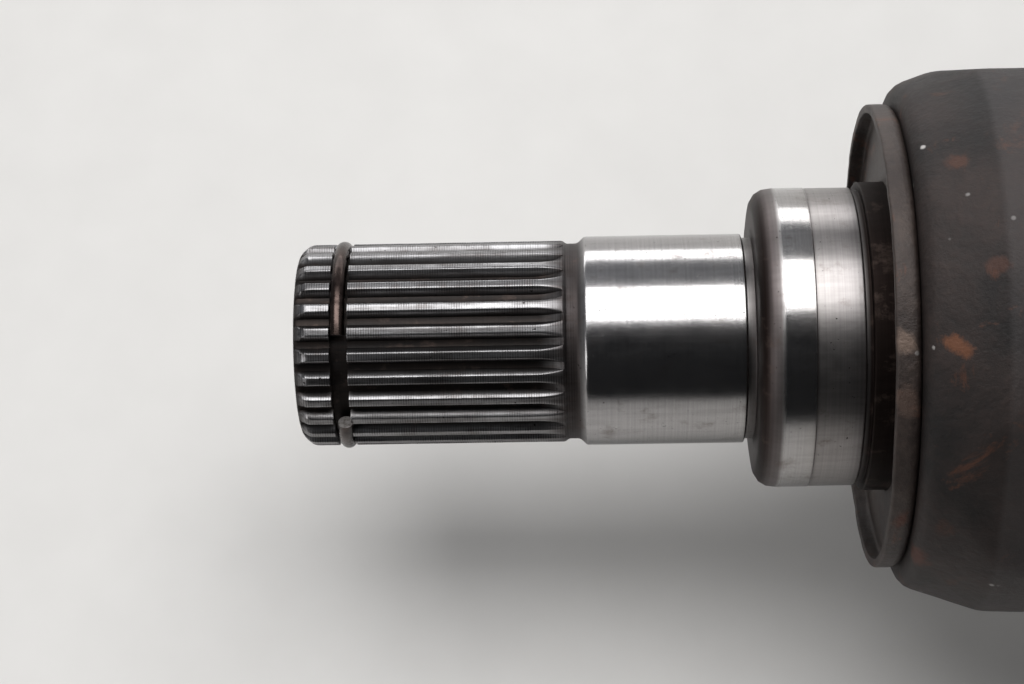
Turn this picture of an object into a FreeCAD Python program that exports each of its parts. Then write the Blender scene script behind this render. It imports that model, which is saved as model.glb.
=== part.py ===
# Half shaft of a front-wheel-drive car, in millimetres.
# X runs along the shaft from the gearbox spline to the wheel end, and Z is up.
# The origin is on the axis, in the middle of the ground band that the gearbox seal runs on.
import FreeCAD, Part
import math
import os
import re

import Sketcher

Vector = FreeCAD.Vector
Constraint = Sketcher.Constraint
document = FreeCAD.newDocument("half_shaft")

# Driving dimensions

SIZES = {
    # gearbox stub, distances to the left of the origin
    "nose_reach": 68.5,
    "nose_drop": 1.6,
    "nose_round": 1.2,
    "nose_chamfer": 2.1,
    "centre_hole_radius": 3.2,
    "centre_hole_depth": 4.6,
    "inner_spline_radius": 13.5,
    "inner_spline_teeth": 26,
    "neck_length": 2.7,
    "tooth_height": 1.25,
    "gap_floor_width": 0.9,
    "gap_flank_angle": 27,
    "runout_radius": 7,
    "clip_inset": 6,
    "clip_groove_width": 2.3,
    "clip_groove_depth": 1.75,
    "clip_wire": 2.0,
    "clip_proud": 0.4,
    "neck_drop": 0.4,
    "journal_reach": 30.4,
    "journal_radius": 14,
    "journal_end": 9.5,
    "relief_depth": 0.55,
    "collar_reach": 8.3,
    "collar_round": 3,
    "seal_radius": 20,
    "seal_half_width": 5,
    # tripod housing
    "hub_groove_depth": 0.5,
    "hub_groove_width": 0.9,
    "hub_rise": 0.6,
    "shoulder_place": 10.5,
    "shoulder_inset": 4.3,
    "shoulder_round": 2.2,
    "cone_length": 10.3,
    "draft_rise": 0.7,
    "cone_round": 3,
    "draft_length": 19.2,
    "housing_radius": 37.5,
    "flat_depth": 2.4,
    "mouth_place": 96,
    "boot_seat_length": 16,
    "boot_seat_step": 0.7,
    "edge_break": 0.8,
    "cut_over": 1,
    "bore_radius": 22,
    "bore_flare": 8,
    "bore_flare_rise": 5,
    "cavity_floor": 24,
    "track_side_gap": 0.95,
    "track_roof": 5,
    # dust shield
    "shield_inset": 2.3,
    "shield_sheet": 1.2,
    "shield_depth": 3.2,
    "shield_corner": 1.8,
    # bushing, boots and their clamps
    "bushing_wall": 2.2,
    "bushing_inset": 2,
    "boot_wall": 2.2,
    "inner_folds": 5,
    "inner_fold_lead": 3,
    "inner_fold_span": 87,
    "inner_crest_rise": 0.8,
    "inner_root_drop": 7.2,
    "small_crest_rise": 10.6,
    "small_root_rise": 3.1,
    "fold_run": 4,
    "small_land": 12,
    "clamp_width": 8,
    "clamp_band": 1,
    "small_clamp_width": 6.5,
    "ear_height": 4.2,
    "ear_width": 7.5,
    "soft_gap": 0.3,
    # tripod
    "inner_centre": 63,
    "trunnion_radius": 9,
    "spider_half_width": 9.5,
    "bar_spline_radius": 10.6,
    "roller_radius": 16.5,
    "spider_wall": 2.68,
    "trunnion_tip_gap": 2.57,
    "needle_count": 21,
    "needle_play": 0.15,
    "needle_inset": 0.3,
    "washer_sheet": 0.8,
    "ring_bite": 1,
    "ring_height": 2.4,
    "ring_width": 1.2,
    "ring_opening": 5,
    "running_gap": 0.06,
    # axle bar
    "bar_radius": 12.6,
    "bar_neck_radius": 10.4,
    "bar_neck_end": 150,
    "bar_neck_taper": 9,
    "bar_tip_beyond": 4,
    "boot_groove_rise": 0.8,
    "boot_groove_rim": 1.5,
    "race_spline_radius": 11.4,
    "bar_outer_neck": 11,
    "bar_outer_neck_reach": 70,
    # fixed ball joint
    "outer_centre": 455,
    "ball_rise": 2.3,
    "ball_diameter": 17.46,
    "ball_count": 6,
    "ball_track_gap": 1.5,
    "race_radius": 26.2,
    "race_half_width": 11,
    "cage_gap": 0.3,
    "cage_wall": 4,
    "cage_rim": 2.47,
    "window_play": 1.14,
    "window_round": 2.5,
    "bell_floor": 26,
    "bell_mouth": 12,
    "bell_lead_rise": 0.7,
    "bell_lead_depth": 2.6,
    "bell_wall": 3.47,
    "bell_seat_end": 6,
    "bell_step": 3.3,
    "bell_body_end": 31,
    "bell_back": 42,
    "bell_back_radius": 27,
    "bell_corner": 8,
    # wheel stub, distances beyond the hub face of the bell
    "stub_root_radius": 15.2,
    "stub_root_length": 5,
    "outer_spline_radius": 14,
    "outer_spline_teeth": 27,
    "outer_spline_length": 44,
    "thread_relief": 10.9,
    "thread_relief_length": 3,
    "thread_radius": 12,
    "thread_length": 22,
    "thread_chamfer": 1.5,
    # outer boot
    "outer_folds": 6,
    "outer_fold_lead": 12,
    "outer_fold_span": 78,
    "outer_crest_drop": 1.2,
    "outer_root_drop": 10.7,
    "outer_small_crest_rise": 10.1,
}

sheet = document.addObject("Spreadsheet::Sheet", "Sizes")
for row, (alias, value) in enumerate(SIZES.items(), start=1):
    sheet.set(f"A{row}", alias)
    sheet.set(f"B{row}", str(value))
    sheet.setAlias(f"B{row}", alias)
document.recompute()

LOBE_ANGLES = (90, 210, 330)
CLIP_GAP_ANGLE = 164
CLIP_GAP_WIDTH = 9
INNER_EAR_ANGLE = -63
OUTER_EAR_ANGLE = 243
SMALL_EAR_ANGLE = 60


# Helpers for sketches and features

def bound(text):
    """The expression with each size's name turned into a reference to its cell."""
    return re.sub(r"[a-z]\w*(?![\w(])", lambda word: "Sizes." + word.group(), text)


def number(text):
    return float(sheet.evalExpression(bound(text)))


def bind(item, settings):
    for name, text in settings.items():
        item.setExpression(name, bound(text))


def origin_feature(body, role):
    return next(item for item in body.Origin.OriginFeatures if item.Role == role)


def new_body(label, centre=None):
    body = document.addObject("PartDesign::Body", label)
    body.Label = label
    if centre:
        bind(body, {"Placement.Base.x": centre})
    return body


def new_sketch(body, role, lift=None):
    """A sketch on one of the body's origin planes, lifted along the plane's normal."""
    sketch = body.newObject("Sketcher::SketchObject", body.Label + "_sketch")
    sketch.AttachmentSupport = (origin_feature(body, role), [""])
    sketch.MapMode = "FlatFace"
    if lift:
        bind(sketch, {"AttachmentOffset.Base.z": lift})
    return sketch


def hold(sketch, kind, axis_line, item, end, text):
    """Hold one coordinate of a point to a size, or to the axis where it is zero."""
    if text.startswith("~"):
        return
    if text == "0":
        sketch.addConstraint(Constraint("PointOnObject", item, end, axis_line))
        return
    index = sketch.addConstraint(Constraint(kind, -1, 1, item, end, number(text)))
    sketch.setExpression(f"Constraints[{index}]", bound(text))


def hold_point(sketch, item, end, along, across):
    hold(sketch, "DistanceX", -2, item, end, along)
    hold(sketch, "DistanceY", -1, item, end, across)


def hold_radius(sketch, item, text):
    index = sketch.addConstraint(Constraint("Radius", item, number(text)))
    sketch.setExpression(f"Constraints[{index}]", bound(text))


def arc_through(centre, first, middle, last):
    """The arc from first to last by way of middle, drawn anticlockwise as sketches keep it."""
    def angle(point):
        return math.atan2(point.y - centre.y, point.x - centre.x)

    start, end = angle(first), angle(last)
    if (angle(middle) - start) % (2 * math.pi) > (end - start) % (2 * math.pi):
        start, end = end, start
    round_whole = Part.Circle(centre, Vector(0, 0, 1), (first - centre).Length)
    return Part.ArcOfCircle(round_whole, start, start + (end - start) % (2 * math.pi))


def outline(sketch, corners, arcs=None):
    """A closed outline through corners given as (along, across) or (along, across, rounding).

    A coordinate that starts with ~ is left to the curves beside it.
    arcs maps a corner's number to the curve that leaves it: its centre, 1 or -1 for the side
    of the centre that it lies on, and a radius where the corners leave that open.
    """
    arcs = arcs or {}
    count = len(corners)
    points = [Vector(number(c[0].lstrip("~")), number(c[1].lstrip("~")), 0) for c in corners]
    leave, arrive = list(points), list(points)
    rounds, lines, ends = {}, [], {}

    def draw(curve, first, last):
        """Add a curve and note which of its two ends lies at each place."""
        item = sketch.addGeometry(curve)
        forward = (sketch.Geometry[item].StartPoint - first).Length < 1e-6
        ends[item] = (1, 2) if forward else (2, 1)
        return item

    for i, corner in enumerate(corners):
        if len(corner) < 3:
            continue
        radius = number(corner[2])
        back = (points[i - 1] - points[i]).normalize()
        ahead = (points[(i + 1) % count] - points[i]).normalize()
        half = back.getAngle(ahead) / 2
        inward = (back + ahead).normalize()
        arrive[i] = points[i] + back * (radius / math.tan(half))
        leave[i] = points[i] + ahead * (radius / math.tan(half))
        centre = points[i] + inward * (radius / math.sin(half))
        curve = arc_through(centre, arrive[i], centre - inward * radius, leave[i])
        rounds[i] = draw(curve, arrive[i], leave[i])
    for i in range(count):
        j = (i + 1) % count
        if i in arcs:
            centre_x, centre_y, bulge = arcs[i][:3]
            centre = Vector(number(centre_x), number(centre_y), 0)
            radius = (points[i] - centre).Length
            toward = ((points[i] + points[j]) / 2 - centre).normalize() * bulge
            curve = arc_through(centre, points[i], centre + toward * radius, points[j])
        else:
            curve = Part.LineSegment(leave[i], arrive[j])
        lines.append(draw(curve, leave[i], arrive[j]))
    tips = {i: sketch.addGeometry(Part.Point(points[i]), True) for i in rounds}

    for i, corner in enumerate(corners):
        before, after = lines[i - 1], lines[i]
        end_before, end_after = ends[before][1], ends[after][0]
        if i not in rounds:
            sketch.addConstraint(Constraint("Coincident", before, end_before, after, end_after))
            hold_point(sketch, after, end_after, corner[0], corner[1])
            continue
        arc, tip = rounds[i], tips[i]
        hold_point(sketch, tip, 1, corner[0], corner[1])
        sketch.addConstraint(Constraint("PointOnObject", tip, 1, before))
        sketch.addConstraint(Constraint("PointOnObject", tip, 1, after))
        sketch.addConstraint(Constraint("Tangent", before, end_before, arc, ends[arc][0]))
        sketch.addConstraint(Constraint("Tangent", after, end_after, arc, ends[arc][1]))
        hold_radius(sketch, arc, corner[2])
    for i, arc in arcs.items():
        hold_point(sketch, lines[i], 3, arc[0], arc[1])
        if len(arc) > 3:
            hold_radius(sketch, lines[i], arc[3])
    return sketch


def feature(body, kind, sketch, bindings=None, **settings):
    """A feature made from a sketch; a spun one turns about the axis named in settings."""
    item = body.newObject("PartDesign::" + kind, f"{body.Label}_{kind.lower()}")
    item.Profile = sketch
    if "axis" in settings:
        item.ReferenceAxis = (sketch, [settings.pop("axis")])
    for name, value in settings.items():
        setattr(item, name, value)
    bind(item, bindings or {})
    sketch.Visibility = False
    body.Tip = item
    return item


def spread(body, originals, count, angle=360):
    """The features repeated round the body's X axis."""
    pattern = body.newObject("PartDesign::PolarPattern", body.Label + "_pattern")
    pattern.Originals = originals
    pattern.Axis = (origin_feature(body, "X_Axis"), [""])
    pattern.Angle = angle
    if isinstance(count, str):
        bind(pattern, {"Occurrences": count})
    else:
        pattern.Occurrences = count
    body.Tip = pattern
    return pattern


def turned(label, corners, arcs=None, centre=None, axis="H_Axis"):
    """A piece turned about X, or about Z where axis is V_Axis."""
    body = new_body(label, centre)
    sketch = outline(new_sketch(body, "XZ_Plane"), corners, arcs)
    feature(body, "Revolution", sketch, axis=axis, Angle=360)
    return body


RUNOUT = "sqrt(runout_radius ^ 2 - (runout_radius - tooth_height) ^ 2)"
RUNOUT_TURN = 60


def spline_gaps(body, mouth, run, teeth, outer, way):
    """Gaps between spline teeth, each with the round run-out that its cutter leaves.

    The gaps open at mouth and reach full depth for the run. way is 1 where they run along X,
    and -1 where they run back.
    """
    root = f"({outer} - tooth_height)"
    top = f"({outer} + cut_over)"
    floor_half = "gap_floor_width / 2"
    top_half = f"({floor_half} + ({top} - {root}) * tan(gap_flank_angle))"
    corners = (
        (f"-({floor_half})", root),
        (floor_half, root),
        (top_half, top),
        (f"-{top_half}", top),
    )
    straight = outline(new_sketch(body, "YZ_Plane", mouth), corners)
    cut = feature(body, "Pocket", straight, {"Length": run}, Reversed=way > 0)
    rounded = outline(new_sketch(body, "YZ_Plane", f"{mouth} + {run} * {way}"), corners)
    height = number(f"{root} + runout_radius")
    half = number("runout_radius / 2")
    line = rounded.addGeometry(Part.LineSegment(Vector(-half, height, 0), Vector(half, height, 0)), True)
    rounded.addConstraint(Constraint("Symmetric", line, 1, line, 2, -2))
    hold(rounded, "DistanceY", -1, line, 1, f"{root} + runout_radius")
    width = rounded.addConstraint(Constraint("DistanceX", line, 1, line, 2, 2 * half))
    rounded.setExpression(f"Constraints[{width}]", bound("runout_radius"))
    tail = feature(body, "Groove", rounded, axis="Axis0", Angle=RUNOUT_TURN, Reversed=way > 0)
    return spread(body, [cut, tail], teeth)


# Inner joint: forged housing with the gearbox stub

CLIP_REACH = "(nose_reach - clip_inset)"
INNER_SPLINE_END = "(journal_reach + neck_length)"
HUB_RADIUS = "(seal_radius + hub_rise)"
SHOULDER_RADIUS = "(housing_radius - shoulder_inset)"
SHIELD_RADIUS = f"({SHOULDER_RADIUS} - shield_inset)"
CONE_END = "(shoulder_place + cone_length)"
FLAT_DISTANCE = "(housing_radius - flat_depth)"
BOOT_SEAT = "(housing_radius - boot_seat_step)"
BUSHING_RADIUS = f"({BOOT_SEAT} + bushing_wall)"
TRACK_CEILING = "(housing_radius - track_roof)"
TRUNNION_END = f"(sqrt({TRACK_CEILING} ^ 2 - trunnion_radius ^ 2) - trunnion_tip_gap)"
RING_LOW = f"({TRUNNION_END} - edge_break - ring_width)"
WASHER_HIGH = f"({RING_LOW} - washer_sheet)"
ROLLER_HIGH = f"({WASHER_HIGH} - running_gap)"
SPIDER_RIM = "(bar_spline_radius + spider_wall)"
WASHER_LOW = f"({SPIDER_RIM} + running_gap)"
ROLLER_LOW = f"({WASHER_LOW} + washer_sheet + running_gap)"
TRACK_PITCH = f"(({ROLLER_LOW} + {ROLLER_HIGH}) / 2)"


def inner_housing():
    clip_left = f"-{CLIP_REACH} - clip_groove_width / 2"
    clip_right = f"-{CLIP_REACH} + clip_groove_width / 2"
    clip_floor = "inner_spline_radius - clip_groove_depth"
    neck = "inner_spline_radius - neck_drop"
    relief = "journal_radius - relief_depth"
    hub_groove = "seal_radius - hub_groove_depth"
    flare = "bore_radius + bore_flare_rise"
    body = turned(
        "inner_housing",
        (
            ("-nose_reach + centre_hole_depth", "0"),
            ("-nose_reach", "centre_hole_radius"),
            ("-nose_reach", "inner_spline_radius - nose_drop", "nose_round"),
            ("-nose_reach + nose_chamfer", "inner_spline_radius"),
            (clip_left, "inner_spline_radius"),
            (clip_left, clip_floor),
            (clip_right, clip_floor),
            (clip_right, "inner_spline_radius"),
            (f"-{INNER_SPLINE_END}", "inner_spline_radius"),
            (f"-{INNER_SPLINE_END} + edge_break / 2", neck),
            ("-journal_reach - edge_break", neck),
            ("-journal_reach", "journal_radius"),
            ("-journal_end", "journal_radius"),
            ("-journal_end", relief),
            ("-collar_reach", relief),
            ("-collar_reach", "seal_radius", "collar_round"),
            ("seal_half_width", "seal_radius"),
            ("seal_half_width", hub_groove),
            ("seal_half_width + hub_groove_width", hub_groove),
            ("seal_half_width + hub_groove_width", HUB_RADIUS),
            ("shoulder_place", HUB_RADIUS),
            ("shoulder_place", SHOULDER_RADIUS, "shoulder_round"),
            (CONE_END, "housing_radius - draft_rise", "cone_round"),
            (f"{CONE_END} + draft_length", "housing_radius"),
            ("mouth_place - boot_seat_length", "housing_radius"),
            ("mouth_place - boot_seat_length", BOOT_SEAT),
            ("mouth_place - edge_break", BOOT_SEAT),
            ("mouth_place", f"{BOOT_SEAT} - edge_break"),
            ("mouth_place", flare),
            ("mouth_place - bore_flare", "bore_radius"),
            ("cavity_floor", "bore_radius"),
            ("cavity_floor", "0"),
        ),
    )
    track = "(roller_radius + track_side_gap)"
    squares = f"({TRACK_CEILING} ^ 2 - {track} ^ 2 + {TRACK_PITCH} ^ 2)"
    corner_across = f"{squares} / (2 * {TRACK_PITCH})"
    corner_along = f"sqrt({TRACK_CEILING} ^ 2 - ({corner_across}) ^ 2)"
    section = outline(
        new_sketch(body, "YZ_Plane", "mouth_place"),
        ((f"~-{corner_along}", f"~{corner_across}"), (f"~{corner_along}", f"~{corner_across}")),
        {0: ("0", "0", 1, TRACK_CEILING), 1: ("0", TRACK_PITCH, -1, track)},
    )
    tracks = feature(body, "Pocket", section, {"Length": "mouth_place - cavity_floor"})
    spread(body, [tracks], 3)
    beyond = "housing_radius + cut_over"
    half = "housing_radius / 2"
    side = outline(
        new_sketch(body, "YZ_Plane", "shoulder_place"),
        (
            (f"-{half}", f"-({beyond})"),
            (half, f"-({beyond})"),
            (half, f"-{FLAT_DISTANCE}"),
            (f"-{half}", f"-{FLAT_DISTANCE}"),
        ),
    )
    flats = feature(body, "Pocket", side, {"Length": "mouth_place"}, Reversed=True)
    spread(body, [flats], 3)
    run = f"(nose_reach + cut_over - {INNER_SPLINE_END} - {RUNOUT})"
    spline_gaps(body, "-nose_reach - cut_over", run, "inner_spline_teeth", "inner_spline_radius", 1)
    return body


def ring(label, left, right, inner, outer, centre=None):
    """A plain ring round X with a square section."""
    corners = ((left, inner), (left, outer), (right, outer), (right, inner))
    return turned(label, corners, centre=centre)


def split_ring(label, place, width, inner, outer, gap, centre=None):
    """A square-wire snap ring round X, open at the bottom by the gap."""
    body = ring(label, f"{place} - {width} / 2", f"{place} + {width} / 2", inner, outer, centre)
    half = f"{gap} / 2"
    below = f"-({outer} + cut_over)"
    above = f"-({inner} / 2)"
    corners = ((f"-{half}", below), (half, below), (half, above), (f"-{half}", above))
    slot = outline(new_sketch(body, "YZ_Plane", f"{place} - {width}"), corners)
    feature(body, "Pocket", slot, {"Length": f"{width} * 2"}, Reversed=True)
    return body


def stub_circlip():
    """The round-wire ring that snaps into the side gear, open at the front."""
    torus = document.addObject("Part::Torus", "stub_circlip")
    torus.Label = "stub_circlip"
    wire = "clip_wire / 2"
    outer = "inner_spline_radius + clip_proud"
    bind(torus, {"Radius1": f"{outer} - {wire}", "Radius2": wire})
    torus.Angle3 = 360 - CLIP_GAP_WIDTH
    start = FreeCAD.Rotation(Vector(0, 0, 1), CLIP_GAP_WIDTH / 2)
    upright = FreeCAD.Rotation(Vector(1, 0, 0), Vector(0, 1, 0), Vector(0, 0, 1), "ZXY")
    turn = FreeCAD.Rotation(Vector(0, 1, 0), 90)
    gap = FreeCAD.Rotation(Vector(1, 0, 0), CLIP_GAP_ANGLE - 270)
    torus.Placement.Rotation = gap * turn * upright * start
    bind(torus, {"Placement.Base.x": f"-{CLIP_REACH}"})
    return torus


def dust_shield():
    """A pressed sheet cup, open towards the gearbox, seated on the hub behind the seal band."""
    front = "shoulder_place - shield_depth"
    floor = "shoulder_place - shield_sheet"
    return turned(
        "dust_shield",
        (
            (front, f"{SHIELD_RADIUS} - shield_sheet"),
            (front, SHIELD_RADIUS, "shield_sheet / 3"),
            ("shoulder_place", SHIELD_RADIUS, "shield_corner"),
            ("shoulder_place", HUB_RADIUS),
            (floor, HUB_RADIUS),
            (floor, f"{SHIELD_RADIUS} - shield_sheet", "shield_corner - shield_sheet"),
        ),
    )


def trilobal_bushing():
    """A moulded ring with three pads that fill the housing's flats, round on the outside."""
    left = "mouth_place - boot_seat_length + edge_break"
    length = "(boot_seat_length - bushing_inset)"
    body = ring("trilobal_bushing", left, f"{left} + {length}", BOOT_SEAT, BUSHING_RADIUS)
    reach = f"({BOOT_SEAT} + bushing_wall / 2)"
    half = f"sqrt({reach} ^ 2 - {FLAT_DISTANCE} ^ 2)"
    segment = outline(
        new_sketch(body, "YZ_Plane", left),
        ((half, f"-{FLAT_DISTANCE}"), (f"~-{half}", f"-{FLAT_DISTANCE}")),
        {0: ("0", "0", 1)},
    )
    pad = feature(body, "Pad", segment, {"Length": length})
    spread(body, [pad], 3)
    return body


# Boots and clamps

def bellows(label, folds, lands, fold_ends, crests, roots):
    """A moulded boot: a land at each end and folds between them, narrowing to the small end.

    lands holds the outer radius and the two ends of the large land and of the small one.
    """
    large, small = lands
    count = int(number(folds))
    skin = [(large[1], large[0]), (large[2], large[0])]
    for fold in range(count + 1):
        share = f"{fold} / {count}"
        place = f"{fold_ends[0]} + ({fold_ends[1]} - {fold_ends[0]}) * {share}"
        skin.append((place, f"({roots[0]}) + (({roots[1]}) - ({roots[0]})) * {share}"))
        if fold < count:
            share = f"{fold + 0.5} / {count}"
            place = f"{fold_ends[0]} + ({fold_ends[1]} - {fold_ends[0]}) * {share}"
            skin.append((place, f"({crests[0]}) + (({crests[1]}) - ({crests[0]})) * {share}"))
    skin += [(small[1], small[0]), (small[2], small[0])]
    lining = [(along, f"{across} - boot_wall") for along, across in reversed(skin)]
    return turned(label, skin + lining)


def clamp(label, place, width, inner, angle):
    """A crimped band clamp with its ear at an angle from +Y towards +Z."""
    left = f"({place} - {width} / 2)"
    body = ring(label, left, f"{left} + {width}", inner, f"{inner} + clamp_band")
    root = f"-({inner} + clamp_band / 2)"
    tip = f"-({inner} + clamp_band + ear_height)"
    ear = outline(
        new_sketch(body, "YZ_Plane", left),
        (
            ("-ear_width / 2", root),
            ("ear_width / 2", root),
            ("ear_width / 2 - clamp_band", tip, "clamp_band"),
            ("-ear_width / 2 + clamp_band", tip, "clamp_band"),
        ),
    )
    feature(body, "Pad", ear, {"Length": width})
    body.Placement.Rotation = FreeCAD.Rotation(Vector(1, 0, 0), angle - 270)
    return body


BALL_TRACK = "(ball_diameter / 2 + ball_track_gap)"
BALL_PITCH = "(race_radius + ball_rise)"
BELL_SEAT = f"({BALL_PITCH} + {BALL_TRACK} + bell_wall)"
BOOT_GROOVE = "(bar_radius + boot_groove_rise)"
INNER_LAND = f"({BUSHING_RADIUS} + boot_wall)"
OUTER_LAND = f"({BELL_SEAT} + soft_gap + boot_wall)"
SMALL_LAND = f"({BOOT_GROOVE} + soft_gap + boot_wall)"
INNER_FOLD_START = "(mouth_place + inner_fold_lead)"
INNER_FOLD_END = f"({INNER_FOLD_START} + inner_fold_span)"
INNER_SMALL_START = f"({INNER_FOLD_END} + fold_run)"
BELL_MOUTH = "(outer_centre - bell_mouth)"
OUTER_FOLD_START = f"({BELL_MOUTH} - outer_fold_lead)"
OUTER_FOLD_END = f"({OUTER_FOLD_START} - outer_fold_span)"
OUTER_SMALL_START = f"({OUTER_FOLD_END} - fold_run)"


def boots_and_clamps():
    bellows(
        "inner_boot",
        "inner_folds",
        (
            (INNER_LAND, "mouth_place - boot_seat_length + 2 * edge_break", "mouth_place"),
            (SMALL_LAND, INNER_SMALL_START, f"{INNER_SMALL_START} + small_land"),
        ),
        (INNER_FOLD_START, INNER_FOLD_END),
        (f"{INNER_LAND} + inner_crest_rise", f"{SMALL_LAND} + small_crest_rise"),
        (f"{INNER_LAND} - inner_root_drop", f"{SMALL_LAND} + small_root_rise"),
    )
    bellows(
        "outer_boot",
        "outer_folds",
        (
            (OUTER_LAND, "outer_centre + bell_seat_end - edge_break", f"{BELL_MOUTH} - boot_wall"),
            (SMALL_LAND, OUTER_SMALL_START, f"{OUTER_SMALL_START} - small_land"),
        ),
        (OUTER_FOLD_START, OUTER_FOLD_END),
        (f"{OUTER_LAND} - outer_crest_drop", f"{SMALL_LAND} + outer_small_crest_rise"),
        (f"{OUTER_LAND} - outer_root_drop", f"{SMALL_LAND} + small_root_rise"),
    )
    inner_place = "mouth_place - boot_seat_length / 2"
    outer_place = "outer_centre - bell_seat_end / 2"
    small_inner = f"{SMALL_LAND} + soft_gap"
    clamp("inner_boot_large_clamp", f"({inner_place})", "clamp_width", INNER_LAND, INNER_EAR_ANGLE)
    clamp(
        "outer_boot_large_clamp",
        f"({outer_place})",
        "clamp_width",
        f"({OUTER_LAND} + soft_gap)",
        OUTER_EAR_ANGLE,
    )
    clamp(
        "inner_boot_small_clamp",
        f"({INNER_SMALL_START} + small_land / 2)",
        "small_clamp_width",
        f"({small_inner})",
        SMALL_EAR_ANGLE,
    )
    clamp(
        "outer_boot_small_clamp",
        f"({OUTER_SMALL_START} - small_land / 2)",
        "small_clamp_width",
        f"({small_inner})",
        SMALL_EAR_ANGLE,
    )


# Inner joint: tripod, rollers and their needles

NEEDLE_SINE = "sin(180 / needle_count)"
NEEDLE_BED = "(trunnion_radius + running_gap)"
NEEDLE = f"((2 * {NEEDLE_BED} * {NEEDLE_SINE} - needle_play) / (1 - {NEEDLE_SINE}))"
ROLLER_BORE = f"({NEEDLE_BED} + {NEEDLE} + running_gap)"
LOBE_TURNS = [angle - 90 for angle in LOBE_ANGLES]


def spider():
    """A forged ring with three ground trunnions, each grooved at its tip."""
    half = "spider_half_width"
    body = turned(
        "spider",
        (
            (f"-{half}", "bar_spline_radius"),
            (f"-{half}", SPIDER_RIM, "edge_break"),
            (half, SPIDER_RIM, "edge_break"),
            (half, "bar_spline_radius"),
        ),
        centre="inner_centre",
    )
    groove = "trunnion_radius - ring_bite"
    trunnion = outline(
        new_sketch(body, "XZ_Plane"),
        (
            ("0", "bar_spline_radius + running_gap"),
            ("trunnion_radius", "bar_spline_radius + running_gap"),
            ("trunnion_radius", RING_LOW),
            (groove, RING_LOW),
            (groove, f"{RING_LOW} + ring_width"),
            ("trunnion_radius", f"{RING_LOW} + ring_width"),
            ("trunnion_radius", f"{TRUNNION_END} - edge_break / 2"),
            ("trunnion_radius - edge_break / 2", TRUNNION_END),
            ("0", TRUNNION_END),
        ),
    )
    pin = feature(body, "Revolution", trunnion, axis="V_Axis", Angle=360)
    spread(body, [pin], 3)
    return body


def roller(number_of_lobe, turn):
    """A crowned roller, ground to a sphere that runs in its track."""
    edge = f"~sqrt(roller_radius ^ 2 - ({TRACK_PITCH} - {ROLLER_LOW}) ^ 2)"
    body = turned(
        f"roller_{number_of_lobe}",
        ((ROLLER_BORE, ROLLER_LOW), (edge, ROLLER_LOW), (edge, ROLLER_HIGH), (ROLLER_BORE, ROLLER_HIGH)),
        {1: ("0", TRACK_PITCH, 1, "roller_radius")},
        centre="inner_centre",
        axis="V_Axis",
    )
    body.Placement.Rotation = FreeCAD.Rotation(Vector(1, 0, 0), turn)
    return body


def group(label, solids, centre):
    """Separate solids kept together as one sub-part, placed along X."""
    item = document.addObject("Part::Feature", label)
    item.Label = label
    item.Shape = Part.makeCompound(solids)
    bind(item, {"Placement.Base.x": centre})
    return item


def turned_to(solid, turn):
    turned_solid = solid.copy()
    turned_solid.rotate(Vector(0, 0, 0), Vector(1, 0, 0), turn)
    return turned_solid


def needle_rollers(number_of_lobe, turn):
    radius = number(f"{NEEDLE} / 2")
    pitch = number(f"{NEEDLE_BED} + {NEEDLE} / 2")
    low = number(f"{ROLLER_LOW} + needle_inset")
    length = number(f"{ROLLER_HIGH} - {ROLLER_LOW} - 2 * needle_inset")
    count = int(number("needle_count"))
    needles = []
    for index in range(count):
        angle = 2 * math.pi * index / count
        foot = Vector(pitch * math.cos(angle), pitch * math.sin(angle), low)
        needle = Part.makeCylinder(radius, length, foot)
        needles.append(turned_to(needle, turn))
    return group(f"needle_rollers_{number_of_lobe}", needles, "inner_centre")


def flat_rings(label, lows, inner, outer, thickness):
    """The same flat ring at each of the given heights on all three trunnions."""
    rings = []
    for turn in LOBE_TURNS:
        for low in lows:
            foot = Vector(0, 0, number(low))
            disc = Part.makeCylinder(number(outer), number(thickness), foot)
            hole = Part.makeCylinder(number(inner), number(thickness), foot)
            rings.append(turned_to(disc.cut(hole), turn))
    return group(label, rings, "inner_centre")


def tripod():
    spider()
    for index, turn in enumerate(LOBE_TURNS, start=1):
        roller(index, turn)
        needle_rollers(index, turn)
    washer_rim = f"{ROLLER_BORE} + ring_bite"
    flat_rings("roller_washers", (WASHER_LOW, WASHER_HIGH), NEEDLE_BED, washer_rim, "washer_sheet")
    ring_bore = "trunnion_radius - ring_bite"
    flat_rings("trunnion_circlips", (RING_LOW,), ring_bore, f"{ring_bore} + ring_height", "ring_width")


# Axle bar and the rings on it

SPIDER_RING = "(inner_centre - spider_half_width - ring_width / 2)"
STOP_RING = "(inner_centre + spider_half_width + ring_width / 2)"
RACE_RING = "(outer_centre + race_half_width + ring_width / 2)"
BAR_TIP = f"({SPIDER_RING} - ring_width / 2 - bar_tip_beyond / 2)"
BAR_END = f"({RACE_RING} + ring_width / 2 + bar_tip_beyond / 2)"


def ring_groove(place, radius):
    left = f"{place} - ring_width / 2"
    right = f"{place} + ring_width / 2"
    floor = f"{radius} - ring_bite"
    return ((left, radius), (left, floor), (right, floor), (right, radius))


def boot_groove(start, radius):
    """A raised land with a rim each side, where a boot's small end is clamped."""
    left, right = f"({start})", f"({start} + small_land)"
    rim = f"{BOOT_GROOVE} + soft_gap"
    return (
        (f"{left} - boot_groove_rim * 2", radius),
        (f"{left} - boot_groove_rim", rim),
        (left, rim),
        (left, BOOT_GROOVE),
        (right, BOOT_GROOVE),
        (right, rim),
        (f"{right} + boot_groove_rim", rim),
        (f"{right} + boot_groove_rim * 2", radius),
    )


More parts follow.
